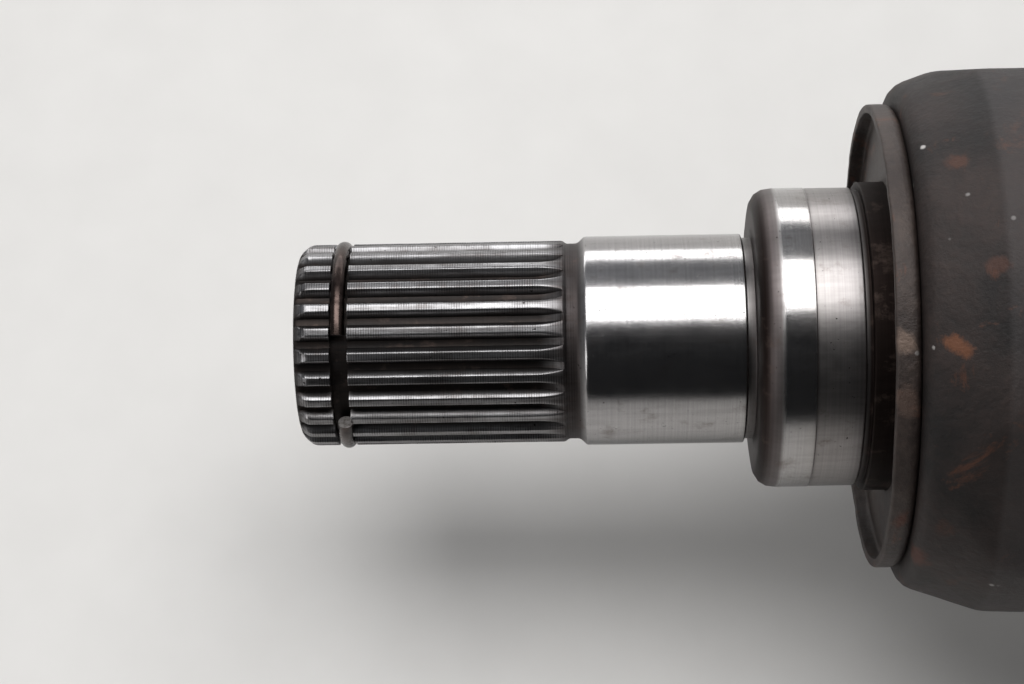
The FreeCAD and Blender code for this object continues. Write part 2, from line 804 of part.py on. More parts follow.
def axle_bar():
    """The forged and turned bar, necked at both joints so that they can bend fully."""
    spline = "bar_spline_radius"
    race = "race_spline_radius"
    corners = [
        (BAR_TIP, "0"),
        (BAR_TIP, f"{spline} - edge_break"),
        (f"{BAR_TIP} + edge_break", spline),
        *ring_groove(SPIDER_RING, spline),
        *ring_groove(STOP_RING, spline),
        (f"{STOP_RING} + bar_tip_beyond", spline),
        (f"{STOP_RING} + bar_tip_beyond + edge_break", "bar_neck_radius"),
        ("bar_neck_end", "bar_neck_radius"),
        ("bar_neck_end + bar_neck_taper", "bar_radius"),
        *boot_groove(INNER_SMALL_START, "bar_radius"),
        *boot_groove(f"{OUTER_SMALL_START} - small_land", "bar_radius"),
        ("outer_centre - bar_outer_neck_reach - bar_neck_taper", "bar_radius"),
        ("outer_centre - bar_outer_neck_reach", "bar_outer_neck"),
        ("outer_centre - race_half_width - edge_break", "bar_outer_neck"),
        ("outer_centre - race_half_width", race),
        *ring_groove(RACE_RING, race),
        (f"{BAR_END} - edge_break", race),
        (BAR_END, f"{race} - edge_break"),
        (BAR_END, "0"),
    ]
    turned("axle_bar", corners)
    rings = (
        ("spider_circlip", SPIDER_RING, spline),
        ("spider_stop_ring", STOP_RING, spline),
        ("race_snap_ring", RACE_RING, race),
    )
    for label, place, radius in rings:
        inner = f"({radius} - ring_bite)"
        split_ring(label, place, "ring_width", inner, f"({inner} + ring_height)", "ring_opening")


# Outer joint: fixed ball joint with its bell and wheel stub

CAGE_INNER = "(race_radius + cage_gap)"
CAGE_OUTER = f"({CAGE_INNER} + cage_wall)"
BELL_INNER = f"({CAGE_OUTER} + cage_gap)"
BELL_RADIUS = f"({BELL_SEAT} + bell_step)"
HALF_TURN = 180
BELL_TRACK_START = 48
BELL_TRACK_SWEEP = 117


def ball_tracks(body, start, sweep):
    """Six round-bottomed tracks about the joint's centre, each a part of a torus."""
    torus = body.newObject("PartDesign::SubtractiveTorus", body.Label + "_track")
    bind(torus, {"Radius1": BALL_PITCH, "Radius2": BALL_TRACK})
    torus.Angle3 = sweep
    torus.AttachmentSupport = (origin_feature(body, "XY_Plane"), [""])
    torus.MapMode = "FlatFace"
    torus.AttachmentOffset.Rotation = FreeCAD.Rotation(Vector(0, 0, 1), start)
    body.Tip = torus
    return spread(body, [torus], "ball_count")


def inner_race():
    half = "race_half_width"
    edge = f"~sqrt(race_radius ^ 2 - {half} ^ 2)"
    body = turned(
        "inner_race",
        (
            (f"-{half}", "race_spline_radius"),
            (f"-{half}", edge),
            (half, edge),
            (half, "race_spline_radius"),
        ),
        {1: ("0", "0", 1, "race_radius")},
        centre="outer_centre",
    )
    ball_tracks(body, 0, HALF_TURN)
    return body


def cage():
    """A spherical ring with a window for each ball."""
    half = "(ball_diameter / 2 + cage_rim)"
    inner = f"~sqrt({CAGE_INNER} ^ 2 - {half} ^ 2)"
    outer = f"~sqrt({CAGE_OUTER} ^ 2 - {half} ^ 2)"
    body = turned(
        "cage",
        ((f"-{half}", inner), (half, inner), (half, outer), (f"-{half}", outer)),
        {0: ("0", "0", 1, CAGE_INNER), 2: ("0", "0", 1, CAGE_OUTER)},
        centre="outer_centre",
    )
    side = "(ball_diameter / 2 + running_gap)"
    end = "(ball_diameter + window_play) / 2"
    window = outline(
        new_sketch(body, "XZ_Plane", f"-({CAGE_OUTER} + cut_over)"),
        (
            (f"-{side}", f"-({end})", "window_round"),
            (side, f"-({end})", "window_round"),
            (side, end, "window_round"),
            (f"-{side}", end, "window_round"),
        ),
    )
    depth = {"Length": f"{CAGE_OUTER} + cut_over - {CAGE_INNER} / 2"}
    opening = feature(body, "Pocket", window, depth, Reversed=True)
    spread(body, [opening], "ball_count")
    return body


def ball(index, angle):
    sphere = document.addObject("Part::Sphere", f"ball_{index}")
    sphere.Label = f"ball_{index}"
    bind(
        sphere,
        {
            "Radius": "ball_diameter / 2",
            "Placement.Base.x": "outer_centre",
            "Placement.Base.y": f"{BALL_PITCH} * cos({angle})",
            "Placement.Base.z": f"{BALL_PITCH} * sin({angle})",
        },
    )
    return sphere


def outer_bell():
    """The forged bell and its wheel stub in one piece, open towards the axle bar."""
    spline_start = "(bell_back + stub_root_length)"
    spline_end = f"({spline_start} + outer_spline_length)"
    thread_start = f"({spline_end} + thread_relief_length)"
    end = f"({thread_start} + thread_length)"
    lead = "bell_mouth - bell_lead_depth"
    body = turned(
        "outer_bell",
        (
            ("-bell_mouth", f"{BELL_INNER} + bell_lead_rise"),
            (f"-({lead})", f"~sqrt({BELL_INNER} ^ 2 - ({lead}) ^ 2)"),
            ("bell_floor", f"~sqrt({BELL_INNER} ^ 2 - bell_floor ^ 2)"),
            ("bell_floor", "0"),
            (f"{end} - centre_hole_depth", "0"),
            (end, "centre_hole_radius"),
            (end, "thread_radius - thread_chamfer"),
            (f"{end} - thread_chamfer", "thread_radius"),
            (thread_start, "thread_radius"),
            (thread_start, "thread_relief"),
            (spline_end, "thread_relief"),
            (spline_end, "outer_spline_radius - edge_break"),
            (f"{spline_end} - edge_break", "outer_spline_radius"),
            (spline_start, "outer_spline_radius"),
            (f"{spline_start} - edge_break", "stub_root_radius"),
            ("bell_back", "stub_root_radius"),
            ("bell_back", "bell_back_radius", "edge_break"),
            ("bell_body_end", BELL_RADIUS, "bell_corner"),
            ("bell_seat_end", BELL_RADIUS, "edge_break"),
            ("bell_seat_end", BELL_SEAT),
            ("-bell_mouth + edge_break", BELL_SEAT),
            ("-bell_mouth", f"{BELL_SEAT} - edge_break"),
        ),
        {1: ("0", "0", 1, BELL_INNER)},
        centre="outer_centre",
    )
    ball_tracks(body, BELL_TRACK_START, BELL_TRACK_SWEEP)
    run = f"(outer_spline_length - {RUNOUT} - edge_break * 2)"
    spline_gaps(body, spline_end, run, "outer_spline_teeth", "outer_spline_radius", -1)
    return body


def ball_joint():
    inner_race()
    cage()
    for index in range(int(number("ball_count"))):
        ball(index + 1, f"360 / ball_count * {index}")
    outer_bell()


def write_parts():
    """Check every object and write each sub-part to a file of its own."""
    document.recompute()
    for item in document.Objects:
        if "Invalid" in item.State or "Error" in item.State:
            raise RuntimeError(f"{item.Label} failed: {item.State}")
    os.makedirs("parts", exist_ok=True)
    kinds = ("PartDesign::Body", "Part::Feature", "Part::Torus", "Part::Sphere")
    for item in document.Objects:
        if item.TypeId not in kinds:
            continue
        if item.Shape.isNull() or not item.Shape.isValid():
            raise RuntimeError(f"{item.Label} has no valid shape")
        item.Shape.exportStep(f"parts/{item.Label}.step")


inner_housing()
stub_circlip()
dust_shield()
trilobal_bushing()
boots_and_clamps()
tripod()
axle_bar()
ball_joint()
write_parts()
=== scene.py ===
import math

import bmesh
import bpy
from mathutils import Matrix, Vector, noise


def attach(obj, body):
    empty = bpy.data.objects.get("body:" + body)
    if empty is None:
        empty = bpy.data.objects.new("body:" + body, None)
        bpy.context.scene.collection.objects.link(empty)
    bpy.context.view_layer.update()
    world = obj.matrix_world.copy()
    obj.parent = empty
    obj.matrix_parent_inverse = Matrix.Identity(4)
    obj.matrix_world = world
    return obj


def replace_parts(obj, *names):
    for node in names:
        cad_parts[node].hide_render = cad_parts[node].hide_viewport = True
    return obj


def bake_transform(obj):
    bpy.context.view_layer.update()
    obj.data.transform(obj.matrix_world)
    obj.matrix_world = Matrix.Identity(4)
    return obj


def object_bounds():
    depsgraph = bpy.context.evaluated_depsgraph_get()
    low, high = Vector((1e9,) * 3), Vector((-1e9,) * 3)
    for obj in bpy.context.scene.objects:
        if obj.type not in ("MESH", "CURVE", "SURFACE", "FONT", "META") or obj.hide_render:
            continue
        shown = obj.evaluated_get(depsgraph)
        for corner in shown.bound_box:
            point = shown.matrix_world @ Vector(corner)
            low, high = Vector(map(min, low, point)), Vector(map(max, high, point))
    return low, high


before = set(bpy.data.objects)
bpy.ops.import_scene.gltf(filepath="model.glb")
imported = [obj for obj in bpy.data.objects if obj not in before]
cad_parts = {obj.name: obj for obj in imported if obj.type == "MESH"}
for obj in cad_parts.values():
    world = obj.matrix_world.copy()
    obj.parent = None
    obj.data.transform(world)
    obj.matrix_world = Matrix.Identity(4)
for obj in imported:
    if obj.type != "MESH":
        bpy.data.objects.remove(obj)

cad_low, cad_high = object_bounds()
MM = 0.001
TURN = 2 * math.pi


# Making pieces

def softened(corners):
    """The path through corners, where a third number cuts that far into the corner with a small curve."""
    path = []
    for index, corner in enumerate(corners):
        here = Vector(corner[:2])
        if len(corner) < 3:
            path.append(tuple(here))
            continue
        before = (Vector(corners[index - 1][:2]) - here).normalized() * corner[2]
        after = (Vector(corners[(index + 1) % len(corners)][:2]) - here).normalized() * corner[2]
        for share in (0, 0.25, 0.5, 0.75, 1):
            path.append(tuple(here + before * (1 - share) ** 2 + after * share ** 2))
    return path


def divided(path, pitch):
    """The same path with its long runs cut into steps no longer than the pitch."""
    steps = [path[0]]
    for first, last in zip(path, path[1:]):
        count = max(1, math.ceil((Vector(last) - Vector(first)).length / pitch))
        for number in range(1, count + 1):
            steps.append(tuple(Vector(first).lerp(Vector(last), number / count)))
    return steps


def round_place(turns):
    """Points evenly spaced round X at the path's own radius."""
    def place(index, along, radius):
        angle = TURN * index / turns
        return along, radius, angle
    return place


def finished(name, mesh, body, material, sharp=35):
    """The bmesh as a piece that rides on a body, smooth except over its sharp edges."""
    bmesh.ops.recalc_face_normals(mesh, faces=mesh.faces)
    for face in mesh.faces:
        face.smooth = True
    for edge in mesh.edges:
        edge.smooth = edge.calc_face_angle(0) < math.radians(sharp)
    data = bpy.data.meshes.new(name)
    mesh.to_mesh(data)
    mesh.free()
    data.materials.append(material)
    piece = bpy.data.objects.new(name, data)
    bpy.context.scene.collection.objects.link(piece)
    if body:
        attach(piece, body)
    return piece


def ringed(path, turns, place):
    """A skin of rings along X, from a circle extruded once for each step of the path."""
    mesh = bmesh.new()
    mark = mesh.verts.layers.int.new("turn")
    bmesh.ops.create_circle(mesh, segments=turns, radius=1.0)
    for point in mesh.verts:
        point[mark] = round(math.atan2(point.co.y, point.co.x) / TURN * turns) % turns
    ring, edges = list(mesh.verts), list(mesh.edges)
    for number, step in enumerate(path):
        if number:
            made = bmesh.ops.extrude_edge_only(mesh, edges=edges)["geom"]
            ring = [item for item in made if isinstance(item, bmesh.types.BMVert)]
            edges = [item for item in made if isinstance(item, bmesh.types.BMEdge) and item.is_boundary]
        for point in ring:
            along, radius, angle = place(point[mark], *step)
            point.co = Vector((along, radius * math.cos(angle), radius * math.sin(angle))) * MM
    bmesh.ops.remove_doubles(mesh, verts=mesh.verts, dist=1e-7)
    return mesh


# Colours and materials

def tint(code, strength=1.0):
    """A linear colour from an sRGB hex value."""
    shades = [int(code[start:start + 2], 16) / 255 for start in (1, 3, 5)]
    linear = [s / 12.92 if s <= 0.04045 else ((s + 0.055) / 1.055) ** 2.4 for s in shades]
    return (*[shade * strength for shade in linear], 1.0)


def add(tree, kind, sockets=None, **settings):
    """A node with its settings, and its sockets set to values or linked to other sockets."""
    made = tree.nodes.new(kind)
    for name, value in settings.items():
        setattr(made, name, value)
    for name, value in (sockets or {}).items():
        if isinstance(value, bpy.types.NodeSocket):
            tree.links.new(value, made.inputs[name])
        else:
            made.inputs[name].default_value = value
    return made


def ramped(ramp, stops):
    """The ramp's output once its stops are placed at their shares of the range."""
    points = ramp.color_ramp.elements
    while len(points) > 1:
        points.remove(points[-1])
    points[0].position = stops[0][0]
    points[0].color = stops[0][1] if isinstance(stops[0][1], tuple) else (*[stops[0][1]] * 3, 1)
    for place, shade in stops[1:]:
        points.new(place).color = shade if isinstance(shade, tuple) else (*[shade] * 3, 1)
    return ramp.outputs["Color"]


def new_material(name):
    """A material with its node tree, its shader and the place on the piece that its patterns follow."""
    material = bpy.data.materials.new(name)
    material.use_nodes = True
    tree = material.node_tree
    shader = tree.nodes["Principled BSDF"]
    place = add(tree, "ShaderNodeTexCoord").outputs["Object"]
    return material, tree, shader, place


def mixed(tree, share, first, second, blend="MIX"):
    """The first colour with a share of the second one."""
    return add(tree, "ShaderNodeMix", {0: share, 6: first, 7: second}, data_type="RGBA", blend_type=blend).outputs[2]


def scaled(tree, place, along, across):
    """The place in pattern units, where along and across are the pattern's sizes in millimetres."""
    size = (1 / (along * MM), 1 / (across * MM), 1 / (across * MM))
    return add(tree, "ShaderNodeMapping", {"Vector": place, "Scale": size}).outputs["Vector"]


STUB_SKIN_START, STUB_SKIN_END = -70, 12
TICK_PITCH = 0.327
LINE_PITCH = 0.3


def gearbox_stub_steel():
    """Hardened steel, hobbed at the spline and ground behind it: bright lands, painted shade deep in the gaps and the
    ring groove, oil smeared over the spline, near black painted shade where the stub runs into the shield cup, fine
    rings from turning.
    """
    material, tree, shader, place = new_material("hobbed_and_ground_steel")
    parts = add(tree, "ShaderNodeSeparateXYZ", {"Vector": place})
    along = parts.outputs["X"]
    flat = add(tree, "ShaderNodeCombineXYZ", {"Y": parts.outputs["Y"], "Z": parts.outputs["Z"]}).outputs["Vector"]
    radius = add(tree, "ShaderNodeVectorMath", {0: flat}, operation="LENGTH").outputs["Value"]
    share = add(
        tree, "ShaderNodeMapRange",
        {"Value": along, "From Min": STUB_SKIN_START * MM, "From Max": STUB_SKIN_END * MM},
    ).outputs["Result"]

    def at(millimetres):
        return (millimetres - STUB_SKIN_START) / (STUB_SKIN_END - STUB_SKIN_START)

    base = ramped(add(tree, "ShaderNodeValToRGB", {"Fac": share}), [
        (0, tint("#4a4543")),
        (at(-67.9), tint("#8c8b8c")),
        (at(-36.0), tint("#908f90")),
        (at(-33.0), tint("#494545")),
        (at(-31.3), tint("#3d3837")),
        (at(-30.3), tint("#a7a5a5")),
        (at(-10.0), tint("#a5a3a2")),
        (at(-9.4), tint("#6f6c6b")),
        (at(-8.4), tint("#5d5958")),
        (at(-8.2), tint("#241c1a")),
        (at(-7.4), tint("#2d2422")),
        (at(-6.6), tint("#5d5655")),
        (at(-5.5), tint("#6f6a69")),
        (at(-5.2), tint("#aaa8a7")),
        (at(-1.5), tint("#a5a2a0")),
        (at(-1.2), tint("#6b6665")),
        (at(-0.9), tint("#8d8987")),
        (at(4.6), tint("#858180")),
        # painted shade: from the seal band's end into the shield cup the stub is coloured near black
        (at(5.6), tint("#221c1a")),
        (1, tint("#241d1b")),
    ])
    # painted shade: the spline's gaps and the ring groove get darker towards their floors
    depth = add(
        tree, "ShaderNodeMapRange", {"Value": radius, "From Min": 12.3 * MM, "From Max": 13.35 * MM}
    ).outputs["Result"]
    gap_shade_by_depth = ramped(add(tree, "ShaderNodeValToRGB", {"Fac": depth}), [(0, 1.0), (0.35, 0.75), (0.75, 0.12), (1, 0)])
    on_spline = ramped(add(tree, "ShaderNodeValToRGB", {"Fac": share}), [
        (at(-69.9), 1.0), (at(-32.2), 1.0), (at(-31.5), 0)])
    gap = add(tree, "ShaderNodeMath", {0: gap_shade_by_depth, 1: on_spline}, operation="MULTIPLY").outputs["Value"]
    streaks = add(
        tree, "ShaderNodeTexNoise",
        {"Vector": scaled(tree, place, 9, 0.9), "Scale": 1.0, "Detail": 4.0, "Roughness": 0.65},
    ).outputs["Fac"]
    patches = add(
        tree, "ShaderNodeTexNoise",
        {"Vector": scaled(tree, place, 3.2, 2.4), "Scale": 1.0, "Detail": 5.0, "Roughness": 0.7},
    ).outputs["Fac"]
    grime = ramped(add(tree, "ShaderNodeValToRGB", {"Fac": streaks}), [(0.42, 0), (0.62, 1.0)])
    # painted shade in the gaps and the ring groove: the steel is mixed towards near black there
    steel = mixed(tree, mixed(tree, 1.0, gap, (0.95, 0.95, 0.95, 1), "MULTIPLY"), base, tint("#15110f"))
    oily = add(tree, "ShaderNodeMath", {0: on_spline, 1: 0.42, 2: 0.12}, operation="MULTIPLY_ADD").outputs["Value"]
    smear = add(tree, "ShaderNodeMath", {0: grime, 1: oily}, operation="MULTIPLY").outputs["Value"]
    steel = mixed(tree, smear, steel, tint("#352e2b"))
    stain = ramped(add(tree, "ShaderNodeValToRGB", {"Fac": patches}), [(0.56, 0), (0.72, 0.5)])
    steel = mixed(tree, stain, steel, tint("#5a4d47"))
    specks = add(
        tree, "ShaderNodeTexNoise",
        {"Vector": scaled(tree, place, 0.5, 0.5), "Scale": 1.0, "Detail": 2.0, "Roughness": 0.5},
    ).outputs["Fac"]
    pit = ramped(add(tree, "ShaderNodeValToRGB", {"Fac": specks}), [(0.71, 0), (0.76, 1.0)])
    steel = mixed(tree, pit, steel, tint("#1c1716"))
    # tool marks run round X: regular ticks on the lands, and faint uneven lines everywhere
    lines_along = add(tree, "ShaderNodeMath", {0: along, 1: 1 / (LINE_PITCH * MM)}, operation="MULTIPLY")
    ring_noise = add(
        tree, "ShaderNodeTexNoise", {"W": lines_along.outputs["Value"], "Scale": 1.0, "Detail": 2.0},
        noise_dimensions="1D",
    ).outputs["Fac"]
    lined = ramped(add(tree, "ShaderNodeValToRGB", {"Fac": ring_noise}), [(0.36, 0.88), (0.64, 1.0)])
    steel = mixed(tree, 1.0, steel, lined, "MULTIPLY")
    turns_along = add(tree, "ShaderNodeMath", {0: along, 1: TURN / (TICK_PITCH * MM)}, operation="MULTIPLY")
    tick = add(tree, "ShaderNodeMath", {0: turns_along.outputs["Value"]}, operation="SINE").outputs["Value"]
    tick = add(tree, "ShaderNodeMath", {0: tick, 1: 0.5, 2: 0.5}, operation="MULTIPLY_ADD").outputs["Value"]
    ungapped = add(tree, "ShaderNodeMath", {0: on_spline, 1: gap}, operation="SUBTRACT", use_clamp=True)
    tick = add(tree, "ShaderNodeMath", {0: tick, 1: ungapped.outputs["Value"]}, operation="MULTIPLY").outputs["Value"]
    worn_away = ramped(add(tree, "ShaderNodeValToRGB", {"Fac": patches}), [(0.40, 0.15), (0.56, 0.62)])
    shade = add(tree, "ShaderNodeMath", {0: tick, 1: worn_away}, operation="MULTIPLY").outputs["Value"]
    steel = mixed(tree, shade, steel, tint("#1f1c1c"))
    rough = ramped(add(tree, "ShaderNodeValToRGB", {"Fac": share}), [
        (0, 0.45),
        (at(-67.5), 0.30),
        (at(-35.5), 0.30),
        (at(-32.5), 0.5),
        (at(-30.9), 0.5),
        (at(-30.2), 0.17),
        (at(-9.8), 0.17),
        (at(-9.4), 0.3),
        (at(-8.2), 0.55),
        (at(-5.6), 0.45),
        (at(-5.0), 0.16),
        (at(-1.3), 0.16),
        (at(-1.1), 0.32),
        (at(4.8), 0.32),
        (at(5.5), 0.6),
    ])
    dull = add(tree, "ShaderNodeMath", {0: patches, 1: 0.16, 2: -0.06}, operation="MULTIPLY_ADD").outputs["Value"]
    rough = add(tree, "ShaderNodeMath", {0: rough, 1: dull}, operation="ADD").outputs["Value"]
    rough = add(tree, "ShaderNodeMath", {0: gap, 1: 0.2, 2: rough}, operation="MULTIPLY_ADD", use_clamp=True)
    cut = add(tree, "ShaderNodeBump", {"Height": ring_noise, "Strength": 0.15, "Distance": 0.01 * MM})
    worn = add(
        tree, "ShaderNodeBump",
        {"Height": patches, "Strength": 0.3, "Distance": 0.05 * MM, "Normal": cut.outputs["Normal"]},
    )
    pitted = add(
        tree, "ShaderNodeBump",
        {"Height": pit, "Strength": 0.2, "Distance": -0.05 * MM, "Normal": worn.outputs["Normal"]},
    )
    tree.links.new(steel, shader.inputs["Base Color"])
    tree.links.new(rough.outputs["Value"], shader.inputs["Roughness"])
    tree.links.new(pitted.outputs["Normal"], shader.inputs["Normal"])
    shader.inputs["Metallic"].default_value = 1.0
    return material


def blot(tree, place, centre, size, turn=0):
    """How near a place is to a spot of the given size in millimetres, from 1 at its middle to 0 at its rim."""
    spot = Vector(centre) * MM
    moved = add(tree, "ShaderNodeVectorMath", {0: place, 1: spot}, operation="SUBTRACT").outputs["Vector"]
    turned = add(
        tree, "ShaderNodeVectorRotate", {"Vector": moved, "Axis": spot.normalized(), "Angle": math.radians(turn)}
    ).outputs["Vector"]
    shrunk = add(
        tree, "ShaderNodeVectorMath",
        {0: turned, 1: tuple(1 / (reach * MM) for reach in size)}, operation="MULTIPLY",
    ).outputs["Vector"]
    far = add(tree, "ShaderNodeVectorMath", {0: shrunk}, operation="LENGTH").outputs["Value"]
    return add(tree, "ShaderNodeMath", {0: 1.0, 1: far}, operation="SUBTRACT", use_clamp=True).outputs["Value"]


def forged_scale(name, dark, light, rust, rust_share, roughness=0.62, blots=(), drawn_from=None):
    """Forged steel under its scale: a dull brown-grey skin with rust in patches and small pale chips.

    Each blot is a centre, a size, a turn in degrees, a colour and a strength. Where drawn_from is given, the
    skin is a little paler beyond that place along X.
    """
    material, tree, shader, place = new_material(name)
    cloud = add(
        tree, "ShaderNodeTexNoise",
        {"Vector": scaled(tree, place, 14, 14), "Scale": 1.0, "Detail": 8.0, "Roughness": 0.68},
    ).outputs["Fac"]
    grain = add(
        tree, "ShaderNodeTexNoise",
        {"Vector": scaled(tree, place, 0.9, 0.9), "Scale": 1.0, "Detail": 6.0, "Roughness": 0.7},
    ).outputs["Fac"]
    skin = mixed(tree, ramped(add(tree, "ShaderNodeValToRGB", {"Fac": cloud}), [(0.38, 0), (0.64, 1.0)]), dark, light)
    mottle = ramped(add(tree, "ShaderNodeValToRGB", {"Fac": grain}), [(0.3, 0.62), (0.7, 1.25)])
    skin = mixed(tree, 1.0, skin, mottle, "MULTIPLY")
    bloom = add(
        tree, "ShaderNodeTexNoise",
        {"Vector": scaled(tree, place, 7, 9), "Scale": 1.0, "Detail": 7.0, "Roughness": 0.75, "Distortion": 0.6},
    ).outputs["Fac"]
    rusty = ramped(add(tree, "ShaderNodeValToRGB", {"Fac": bloom}), [
        (1 - rust_share, 0), (min(0.99, 1.12 - rust_share), 0.75)])
    skin = mixed(tree, rusty, skin, rust)
    chips = add(
        tree, "ShaderNodeTexVoronoi",
        {"Vector": scaled(tree, place, 6.5, 6.5), "Scale": 1.0, "Randomness": 1.0},
    ).outputs["Distance"]
    chip = ramped(add(tree, "ShaderNodeValToRGB", {"Fac": chips}), [(0.035, 0.6), (0.06, 0)])
    skin = mixed(tree, chip, skin, tint("#8d8a88"))
    if drawn_from:
        along = add(tree, "ShaderNodeSeparateXYZ", {"Vector": place}).outputs["X"]
        wander = add(tree, "ShaderNodeMath", {0: bloom, 1: 0.6 * MM, 2: along}, operation="MULTIPLY_ADD")
        drawn = add(tree, "ShaderNodeMapRange", {
            "Value": wander.outputs["Value"],
            "From Min": (drawn_from - 0.3) * MM,
            "From Max": (drawn_from + 0.5) * MM,
        }).outputs["Result"]
        share = add(tree, "ShaderNodeMath", {0: drawn, 1: 0.26}, operation="MULTIPLY").outputs["Value"]
        skin = mixed(tree, share, skin, tint("#4a4646"))
    for centre, size, turn, shade, strength in blots:
        near = blot(tree, place, centre, size, turn)
        ragged = add(tree, "ShaderNodeMath", {0: near, 1: 0.55, 2: bloom}, operation="MULTIPLY_ADD").outputs["Value"]
        cover = ramped(add(tree, "ShaderNodeValToRGB", {"Fac": ragged}), [(0.74, 0), (0.9, strength)])
        skin = mixed(tree, cover, skin, tint(shade))
    pitted = add(tree, "ShaderNodeBump", {"Height": grain, "Strength": 0.55, "Distance": 0.22 * MM})
    waved = add(
        tree, "ShaderNodeBump",
        {"Height": cloud, "Strength": 0.6, "Distance": 0.7 * MM, "Normal": pitted.outputs["Normal"]},
    )
    shine = add(tree, "ShaderNodeMath", {0: grain, 1: 0.25, 2: roughness - 0.12}, operation="MULTIPLY_ADD")
    tree.links.new(skin, shader.inputs["Base Color"])
    tree.links.new(shine.outputs["Value"], shader.inputs["Roughness"])
    tree.links.new(waved.outputs["Normal"], shader.inputs["Normal"])
    shader.inputs["Metallic"].default_value = 0.35
    return material


def steel_finish(name, base, stained, roughness, size, line=None):
    """A plain steel finish with faint stains, and drawn or turned lines where line gives their pitch along X."""
    material, tree, shader, place = new_material(name)
    cloud = add(
        tree, "ShaderNodeTexNoise",
        {"Vector": scaled(tree, place, size, size), "Scale": 1.0, "Detail": 6.0, "Roughness": 0.65},
    ).outputs["Fac"]
    skin = mixed(tree, ramped(add(tree, "ShaderNodeValToRGB", {"Fac": cloud}), [(0.4, 0), (0.68, 1.0)]), base, stained)
    bump = add(tree, "ShaderNodeBump", {"Height": cloud, "Strength": 0.25, "Distance": 0.1 * MM})
    if line:
        along = add(tree, "ShaderNodeSeparateXYZ", {"Vector": place}).outputs["X"]
        count = add(tree, "ShaderNodeMath", {0: along, 1: 1 / (line * MM)}, operation="MULTIPLY").outputs["Value"]
        lines = add(
            tree, "ShaderNodeTexNoise", {"W": count, "Scale": 1.0, "Detail": 2.0}, noise_dimensions="1D"
        ).outputs["Fac"]
        shade = ramped(add(tree, "ShaderNodeValToRGB", {"Fac": lines}), [(0.35, 0.8), (0.65, 1.0)])
        skin = mixed(tree, 1.0, skin, shade, "MULTIPLY")
        bump = add(
            tree, "ShaderNodeBump",
            {"Height": lines, "Strength": 0.3, "Distance": 0.02 * MM, "Normal": bump.outputs["Normal"]},
        )
    shine = add(tree, "ShaderNodeMath", {0: cloud, 1: 0.2, 2: roughness - 0.1}, operation="MULTIPLY_ADD")
    tree.links.new(skin, shader.inputs["Base Color"])
    tree.links.new(shine.outputs["Value"], shader.inputs["Roughness"])
    tree.links.new(bump.outputs["Normal"], shader.inputs["Normal"])
    shader.inputs["Metallic"].default_value = 1.0
    return material


def soft_finish(name, base, dusty, roughness, grain, depth):
    """Moulded rubber, plastic or paint: a fine grain, with a little pale dust in patches."""
    material, tree, shader, place = new_material(name)
    cloud = add(
        tree, "ShaderNodeTexNoise",
        {"Vector": scaled(tree, place, 16, 16), "Scale": 1.0, "Detail": 7.0, "Roughness": 0.7},
    ).outputs["Fac"]
    fine = add(
        tree, "ShaderNodeTexNoise",
        {"Vector": scaled(tree, place, grain, grain), "Scale": 1.0, "Detail": 3.0, "Roughness": 0.6},
    ).outputs["Fac"]
    skin = mixed(tree, ramped(add(tree, "ShaderNodeValToRGB", {"Fac": cloud}), [(0.42, 0), (0.75, 0.8)]), base, dusty)
    bump = add(tree, "ShaderNodeBump", {"Height": fine, "Strength": 0.5, "Distance": depth * MM})
    shine = add(tree, "ShaderNodeMath", {0: cloud, 1: 0.25, 2: roughness - 0.12}, operation="MULTIPLY_ADD")
    tree.links.new(skin, shader.inputs["Base Color"])
    tree.links.new(shine.outputs["Value"], shader.inputs["Roughness"])
    tree.links.new(bump.outputs["Normal"], shader.inputs["Normal"])
    return material


stub_steel = gearbox_stub_steel()
HOUSING_BLOTS = (
    # pale chips
    ((11.7, 10.9, 31.8), (0.75, 0.75, 0.75), 0, "#b3afac", 0.95),
    ((16.2, 2.3, 35.1), (0.7, 0.7, 0.7), 0, "#7f7c7a", 0.8),
    ((11.2, -15.5, 29.6), (0.6, 0.6, 0.6), 0, "#a39f9c", 0.9),
    ((20.3, -36.5, 3.3), (0.7, 0.7, 0.7), 0, "#8f8b88", 0.8),
    # rust
    ((14.0, -15.8, 30.6), (4.6, 1.7, 3.0), 34, "#6a4129", 0.75),
    ((15.8, 7.6, 34.2), (3.6, 2.6, 3.0), 0, "#4c2d1f", 0.6),
    ((19.1, -7.5, 35.4), (3.4, 2.2, 3.0), 0, "#472b20", 0.6),
    ((10.9, -33.1, 3.6), (4.0, 4.0, 5.0), 0, "#4d281a", 0.7),
    ((14.0, -31.0, 12.0), (4.0, 4.0, 5.0), 20, "#3f2418", 0.6),
)
SHIELD_BLOTS = (
    ((8.3, -13.9, 27.8), (3.0, 3.4, 4.0), 0, "#7d6a5e", 0.6),
    ((8.6, -20.0, 23.8), (3.0, 4.0, 4.0), 0, "#5e4c43", 0.5),
    ((9.0, -29.6, 8.7), (3.0, 3.4, 5.0), 0, "#4f2a1b", 0.75),
)
housing_scale = forged_scale(
    "forged_steel_with_scale", tint("#130e0d"), tint("#2d2320"), tint("#56321f"), 0.42,
    blots=HOUSING_BLOTS, drawn_from=20.4)
bell_scale = forged_scale(
    "shot_blasted_forging", tint("#2b2826"), tint("#45403d"), tint("#5a3a28"), 0.34)
shield_sheet = forged_scale(
    "pressed_sheet_with_rust", tint("#241c1a"), tint("#403631"), tint("#5f3825"), 0.42, 0.55, blots=SHIELD_BLOTS)
ring_wire = steel_finish("drawn_spring_wire", tint("#4b403c"), tint("#1a1312"), 0.28, 2.5)
cut_wire = steel_finish("sheared_spring_wire", tint("#a09c99"), tint("#4b4340"), 0.35, 0.6)
clamp_strip = steel_finish("rolled_stainless_strip", tint("#b4b1ac"), tint("#8f8b86"), 0.3, 6, 0.5)
